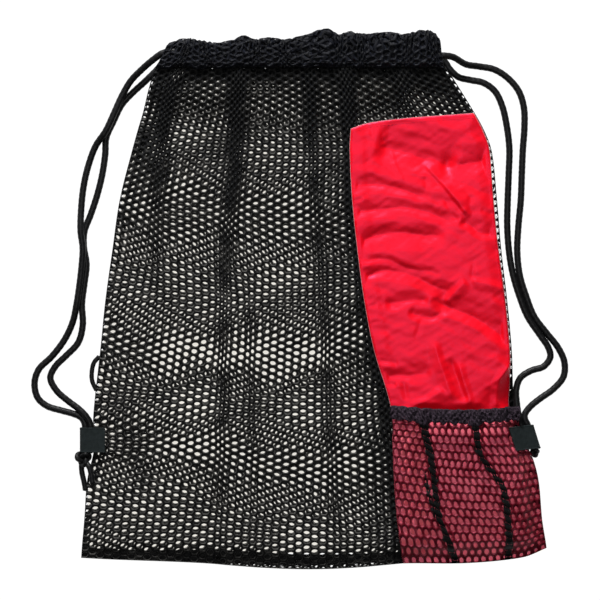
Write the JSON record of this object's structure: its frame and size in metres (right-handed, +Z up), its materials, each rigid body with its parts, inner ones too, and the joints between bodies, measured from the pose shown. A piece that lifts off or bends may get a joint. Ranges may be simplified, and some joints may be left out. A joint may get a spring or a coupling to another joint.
{
  "type": "drawstring swim bag",
  "caption": "Flat drawstring bag of open net with a plain nylon front panel, a net pocket, ruffled cord casings and shoulder cords tied through side tabs, lying empty on its back",
  "frame": {"origin": "on the surface it lies on, under the middle of the bag's outline without its cords", "axes": "+X to the panel and pocket side, +Y to the mouth, +Z up out of the front"},
  "size_m": [0.515, 0.5181, 0.0271],
  "materials": {
    "net": "satin",
    "nylon": "satin",
    "elastic": "matte",
    "webbing": "matte",
    "cord": "satin"
  },
  "bodies": {
    "root": {"back_mesh": "net", "seam_allowance": "net", "front_mesh": "net", "casing_front": "net", "casing_back": "net", "red_panel": "nylon", "pocket_mesh": "net", "pocket_elastic": "elastic", "tab_left": "webbing", "tab_right": "webbing", "cord_front": "cord", "cord_back": "cord", "knot_left": "cord", "knot_right": "cord", "side_loop": "cord"}
  },
  "joints": []
}
